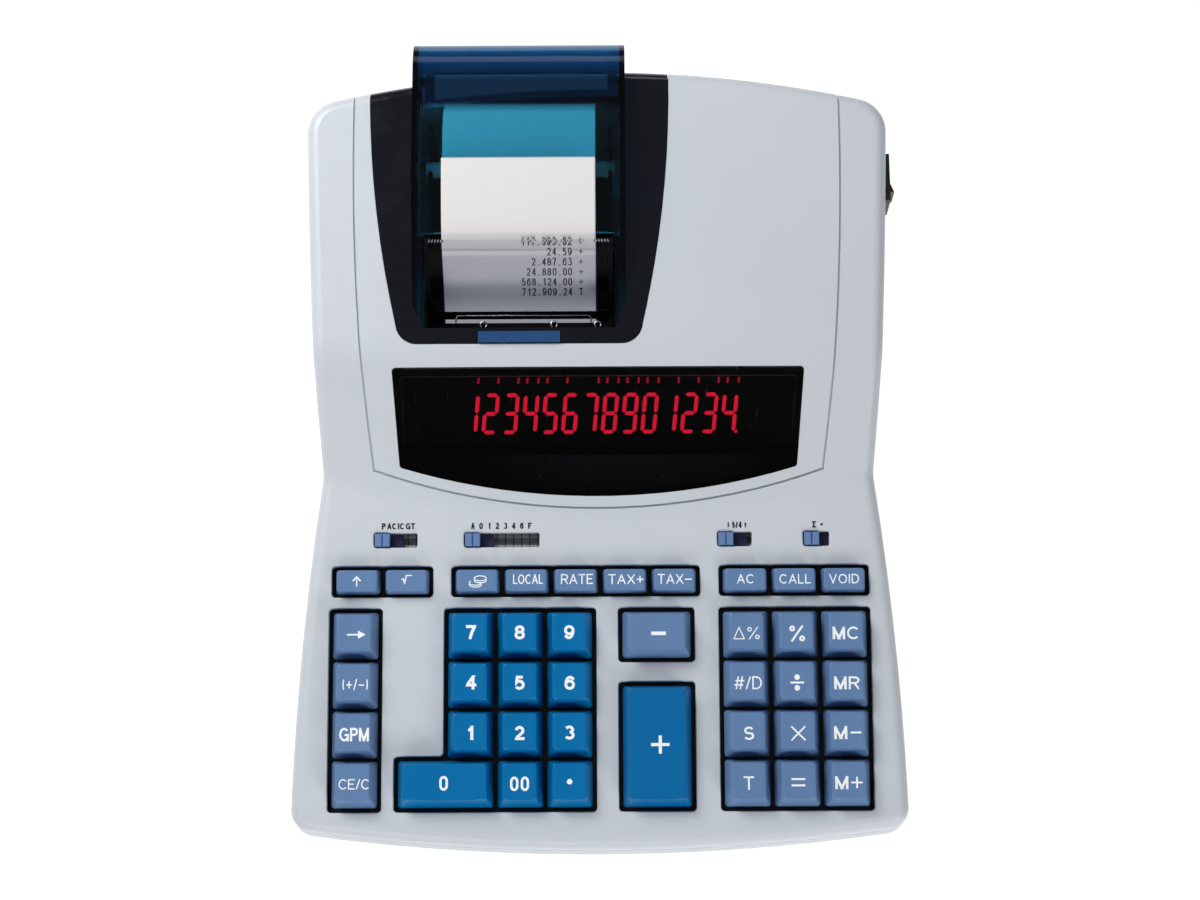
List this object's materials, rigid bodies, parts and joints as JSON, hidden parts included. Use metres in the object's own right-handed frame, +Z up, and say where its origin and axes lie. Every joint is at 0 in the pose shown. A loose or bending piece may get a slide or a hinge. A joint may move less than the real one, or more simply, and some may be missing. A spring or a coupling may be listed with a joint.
{
  "type": "printing calculator",
  "caption": "Desktop printing calculator with a sloped keyboard, slide switches, a display window and a paper roll printer under a hinged tinted cover.",
  "frame": {"origin": "under the middle of the whole, on the plane that the feet rest on", "axes": "+X to the user's right, +Y to the rear, +Z up"},
  "size_m": [0.2294, 0.299, 0.0881],
  "materials": {
    "case": "fine moulded texture, satin",
    "frame": "moulded, satin",
    "board": "lacquered board with a rubber mat",
    "number_key": "moulded, satin",
    "plus_key": "moulded, satin",
    "function_key": "moulded, satin",
    "knob": "moulded, satin",
    "window": "dark tinted, polished",
    "display": "moulded, matt",
    "cover": "tinted translucent plastic, polished",
    "steel": "stamped sheet, painted black",
    "tear_bar": "clear plastic, faintly smoked",
    "rubber": "matt",
    "ink": "porous foam, inked",
    "paper": "uncoated paper",
    "power": "lacquered laminations and moulded plastic",
    "rocker": "moulded, gloss"
  },
  "bodies": {
    "case": {"bottom_case": "case", "top_case": "case", "feet_and_screws": "rubber", "key_frame": "frame", "key_board": "board", "display_window": "window", "display_module": "display", "printer_frame": "steel", "tear_bar": "tear_bar", "paper_strip": "paper", "power_unit": "power"},
    "key_00": {"key_00": "number_key"},
    "key_0": {"key_0": "number_key"},
    "key_point": {"key_point": "number_key"},
    "key_1": {"key_1": "number_key"},
    "key_2": {"key_2": "number_key"},
    "key_3": {"key_3": "number_key"},
    "key_4": {"key_4": "number_key"},
    "key_5": {"key_5": "number_key"},
    "key_6": {"key_6": "number_key"},
    "key_7": {"key_7": "number_key"},
    "key_8": {"key_8": "number_key"},
    "key_9": {"key_9": "number_key"},
    "key_plus": {"key_plus": "plus_key"},
    "key_minus": {"key_minus": "function_key"},
    "key_clear": {"key_clear": "function_key"},
    "key_margin": {"key_margin": "function_key"},
    "key_sign": {"key_sign": "function_key"},
    "key_arrow": {"key_arrow": "function_key"},
    "key_total": {"key_total": "function_key"},
    "key_equals": {"key_equals": "function_key"},
    "key_memory_plus": {"key_memory_plus": "function_key"},
    "key_subtotal": {"key_subtotal": "function_key"},
    "key_multiply": {"key_multiply": "function_key"},
    "key_memory_minus": {"key_memory_minus": "function_key"},
    "key_date": {"key_date": "function_key"},
    "key_divide": {"key_divide": "function_key"},
    "key_memory_recall": {"key_memory_recall": "function_key"},
    "key_delta_percent": {"key_delta_percent": "function_key"},
    "key_percent": {"key_percent": "function_key"},
    "key_memory_clear": {"key_memory_clear": "function_key"},
    "key_feed": {"key_feed": "function_key"},
    "key_root": {"key_root": "function_key"},
    "key_currency": {"key_currency": "function_key"},
    "key_local": {"key_local": "function_key"},
    "key_rate": {"key_rate": "function_key"},
    "key_tax_plus": {"key_tax_plus": "function_key"},
    "key_tax_minus": {"key_tax_minus": "function_key"},
    "key_ac": {"key_ac": "function_key"},
    "key_call": {"key_call": "function_key"},
    "key_void": {"key_void": "function_key"},
    "print_switch": {"print_switch": "knob"},
    "decimal_switch": {"decimal_switch": "knob"},
    "rounding_switch": {"rounding_switch": "knob"},
    "total_switch": {"total_switch": "knob"},
    "power_rocker": {"power_rocker": "rocker"},
    "printer_cover": {"printer_cover": "cover"},
    "platen_roller": {"platen_roller": "rubber"},
    "paper_roll": {"paper_roll": "paper"},
    "ink_roller": {"ink_roller": "ink"}
  },
  "joints": [
    {"name": "key_00_press", "type": "slide", "parent": "case", "child": "key_00", "axis": [0, 0.1219, -0.9925], "range_m": [0, 0.0034], "stiffness_N_per_m": 200, "springref_m": -0.002},
    {"name": "key_0_press", "type": "slide", "parent": "case", "child": "key_0", "axis": [0, 0.1219, -0.9925], "range_m": [0, 0.0034], "stiffness_N_per_m": 200, "springref_m": -0.002},
    {"name": "key_point_press", "type": "slide", "parent": "case", "child": "key_point", "axis": [0, 0.1219, -0.9925], "range_m": [0, 0.0034], "stiffness_N_per_m": 200, "springref_m": -0.002},
    {"name": "key_1_press", "type": "slide", "parent": "case", "child": "key_1", "axis": [0, 0.1219, -0.9925], "range_m": [0, 0.0034], "stiffness_N_per_m": 200, "springref_m": -0.002},
    {"name": "key_2_press", "type": "slide", "parent": "case", "child": "key_2", "axis": [0, 0.1219, -0.9925], "range_m": [0, 0.0034], "stiffness_N_per_m": 200, "springref_m": -0.002},
    {"name": "key_3_press", "type": "slide", "parent": "case", "child": "key_3", "axis": [0, 0.1219, -0.9925], "range_m": [0, 0.0034], "stiffness_N_per_m": 200, "springref_m": -0.002},
    {"name": "key_4_press", "type": "slide", "parent": "case", "child": "key_4", "axis": [0, 0.1219, -0.9925], "range_m": [0, 0.0034], "stiffness_N_per_m": 200, "springref_m": -0.002},
    {"name": "key_5_press", "type": "slide", "parent": "case", "child": "key_5", "axis": [0, 0.1219, -0.9925], "range_m": [0, 0.0034], "stiffness_N_per_m": 200, "springref_m": -0.002},
    {"name": "key_6_press", "type": "slide", "parent": "case", "child": "key_6", "axis": [0, 0.1219, -0.9925], "range_m": [0, 0.0034], "stiffness_N_per_m": 200, "springref_m": -0.002},
    {"name": "key_7_press", "type": "slide", "parent": "case", "child": "key_7", "axis": [0, 0.1219, -0.9925], "range_m": [0, 0.0034], "stiffness_N_per_m": 200, "springref_m": -0.002},
    {"name": "key_8_press", "type": "slide", "parent": "case", "child": "key_8", "axis": [0, 0.1219, -0.9925], "range_m": [0, 0.0034], "stiffness_N_per_m": 200, "springref_m": -0.002},
    {"name": "key_9_press", "type": "slide", "parent": "case", "child": "key_9", "axis": [0, 0.1219, -0.9925], "range_m": [0, 0.0034], "stiffness_N_per_m": 200, "springref_m": -0.002},
    {"name": "key_plus_press", "type": "slide", "parent": "case", "child": "key_plus", "axis": [0, 0.1219, -0.9925], "range_m": [0, 0.0034], "stiffness_N_per_m": 200, "springref_m": -0.002},
    {"name": "key_minus_press", "type": "slide", "parent": "case", "child": "key_minus", "axis": [0, 0.1219, -0.9925], "range_m": [0, 0.0034], "stiffness_N_per_m": 200, "springref_m": -0.002},
    {"name": "key_clear_press", "type": "slide", "parent": "case", "child": "key_clear", "axis": [0, 0.1219, -0.9925], "range_m": [0, 0.0034], "stiffness_N_per_m": 200, "springref_m": -0.002},
    {"name": "key_margin_press", "type": "slide", "parent": "case", "child": "key_margin", "axis": [0, 0.1219, -0.9925], "range_m": [0, 0.0034], "stiffness_N_per_m": 200, "springref_m": -0.002},
    {"name": "key_sign_press", "type": "slide", "parent": "case", "child": "key_sign", "axis": [0, 0.1219, -0.9925], "range_m": [0, 0.0034], "stiffness_N_per_m": 200, "springref_m": -0.002},
    {"name": "key_arrow_press", "type": "slide", "parent": "case", "child": "key_arrow", "axis": [0, 0.1219, -0.9925], "range_m": [0, 0.0034], "stiffness_N_per_m": 200, "springref_m": -0.002},
    {"name": "key_total_press", "type": "slide", "parent": "case", "child": "key_total", "axis": [0, 0.1219, -0.9925], "range_m": [0, 0.0034], "stiffness_N_per_m": 200, "springref_m": -0.002},
    {"name": "key_equals_press", "type": "slide", "parent": "case", "child": "key_equals", "axis": [0, 0.1219, -0.9925], "range_m": [0, 0.0034], "stiffness_N_per_m": 200, "springref_m": -0.002},
    {"name": "key_memory_plus_press", "type": "slide", "parent": "case", "child": "key_memory_plus", "axis": [0, 0.1219, -0.9925], "range_m": [0, 0.0034], "stiffness_N_per_m": 200, "springref_m": -0.002},
    {"name": "key_subtotal_press", "type": "slide", "parent": "case", "child": "key_subtotal", "axis": [0, 0.1219, -0.9925], "range_m": [0, 0.0034], "stiffness_N_per_m": 200, "springref_m": -0.002},
    {"name": "key_multiply_press", "type": "slide", "parent": "case", "child": "key_multiply", "axis": [0, 0.1219, -0.9925], "range_m": [0, 0.0034], "stiffness_N_per_m": 200, "springref_m": -0.002},
    {"name": "key_memory_minus_press", "type": "slide", "parent": "case", "child": "key_memory_minus", "axis": [0, 0.1219, -0.9925], "range_m": [0, 0.0034], "stiffness_N_per_m": 200, "springref_m": -0.002},
    {"name": "key_date_press", "type": "slide", "parent": "case", "child": "key_date", "axis": [0, 0.1219, -0.9925], "range_m": [0, 0.0034], "stiffness_N_per_m": 200, "springref_m": -0.002},
    {"name": "key_divide_press", "type": "slide", "parent": "case", "child": "key_divide", "axis": [0, 0.1219, -0.9925], "range_m": [0, 0.0034], "stiffness_N_per_m": 200, "springref_m": -0.002},
    {"name": "key_memory_recall_press", "type": "slide", "parent": "case", "child": "key_memory_recall", "axis": [0, 0.1219, -0.9925], "range_m": [0, 0.0034], "stiffness_N_per_m": 200, "springref_m": -0.002},
    {"name": "key_delta_percent_press", "type": "slide", "parent": "case", "child": "key_delta_percent", "axis": [0, 0.1219, -0.9925], "range_m": [0, 0.0034], "stiffness_N_per_m": 200, "springref_m": -0.002},
    {"name": "key_percent_press", "type": "slide", "parent": "case", "child": "key_percent", "axis": [0, 0.1219, -0.9925], "range_m": [0, 0.0034], "stiffness_N_per_m": 200, "springref_m": -0.002},
    {"name": "key_memory_clear_press", "type": "slide", "parent": "case", "child": "key_memory_clear", "axis": [0, 0.1219, -0.9925], "range_m": [0, 0.0034], "stiffness_N_per_m": 200, "springref_m": -0.002},
    {"name": "key_feed_press", "type": "slide", "parent": "case", "child": "key_feed", "axis": [0, 0.1219, -0.9925], "range_m": [0, 0.0034], "stiffness_N_per_m": 200, "springref_m": -0.002},
    {"name": "key_root_press", "type": "slide", "parent": "case", "child": "key_root", "axis": [0, 0.1219, -0.9925], "range_m": [0, 0.0034], "stiffness_N_per_m": 200, "springref_m": -0.002},
    {"name": "key_currency_press", "type": "slide", "parent": "case", "child": "key_currency", "axis": [0, 0.1219, -0.9925], "range_m": [0, 0.0034], "stiffness_N_per_m": 200, "springref_m": -0.002},
    {"name": "key_local_press", "type": "slide", "parent": "case", "child": "key_local", "axis": [0, 0.1219, -0.9925], "range_m": [0, 0.0034], "stiffness_N_per_m": 200, "springref_m": -0.002},
    {"name": "key_rate_press", "type": "slide", "parent": "case", "child": "key_rate", "axis": [0, 0.1219, -0.9925], "range_m": [0, 0.0034], "stiffness_N_per_m": 200, "springref_m": -0.002},
    {"name": "key_tax_plus_press", "type": "slide", "parent": "case", "child": "key_tax_plus", "axis": [0, 0.1219, -0.9925], "range_m": [0, 0.0034], "stiffness_N_per_m": 200, "springref_m": -0.002},
    {"name": "key_tax_minus_press", "type": "slide", "parent": "case", "child": "key_tax_minus", "axis": [0, 0.1219, -0.9925], "range_m": [0, 0.0034], "stiffness_N_per_m": 200, "springref_m": -0.002},
    {"name": "key_ac_press", "type": "slide", "parent": "case", "child": "key_ac", "axis": [0, 0.1219, -0.9925], "range_m": [0, 0.0034], "stiffness_N_per_m": 200, "springref_m": -0.002},
    {"name": "key_call_press", "type": "slide", "parent": "case", "child": "key_call", "axis": [0, 0.1219, -0.9925], "range_m": [0, 0.0034], "stiffness_N_per_m": 200, "springref_m": -0.002},
    {"name": "key_void_press", "type": "slide", "parent": "case", "child": "key_void", "axis": [0, 0.1219, -0.9925], "range_m": [0, 0.0034], "stiffness_N_per_m": 200, "springref_m": -0.002},
    {"name": "print_switch_slide", "type": "slide", "parent": "case", "child": "print_switch", "axis": [1, 0, 0], "range_m": [0, 0.01]},
    {"name": "decimal_switch_slide", "type": "slide", "parent": "case", "child": "decimal_switch", "axis": [1, 0, 0], "range_m": [0, 0.022]},
    {"name": "rounding_switch_slide", "type": "slide", "parent": "case", "child": "rounding_switch", "axis": [1, 0, 0], "range_m": [0, 0.0066]},
    {"name": "total_switch_slide", "type": "slide", "parent": "case", "child": "total_switch", "axis": [1, 0, 0], "range_m": [0, 0.0035]},
    {"name": "power_rocker_tilt", "type": "hinge", "parent": "case", "child": "power_rocker", "pos_m": [0.1073, 0.0983, 0.0605], "axis": [0, 0, 1], "range_deg": [-22, 0]},
    {"name": "cover_hinge", "type": "hinge", "parent": "case", "child": "printer_cover", "pos_m": [-0.0294, 0.1435, 0.057], "axis": [-1, 0, 0], "range_deg": [0, 75], "deforming": ["paper_strip"]},
    {"name": "paper_roll_spin", "type": "hinge", "parent": "case", "child": "paper_roll", "pos_m": [-0.0294, 0.1065, 0.057], "axis": [1, 0, 0], "continuous": true},
    {"name": "platen_roller_spin", "type": "hinge", "parent": "case", "child": "platen_roller", "pos_m": [-0.0294, 0.055, 0.044], "axis": [1, 0, 0], "continuous": true},
    {"name": "ink_roller_spin", "type": "hinge", "parent": "case", "child": "ink_roller", "pos_m": [-0.0294, 0.0405, 0.033], "axis": [1, 0, 0], "continuous": true}
  ],
  "couplings": [
    {"joint": "platen_roller_spin", "follows": "paper_roll_spin", "ratio": 3.408}
  ]
}
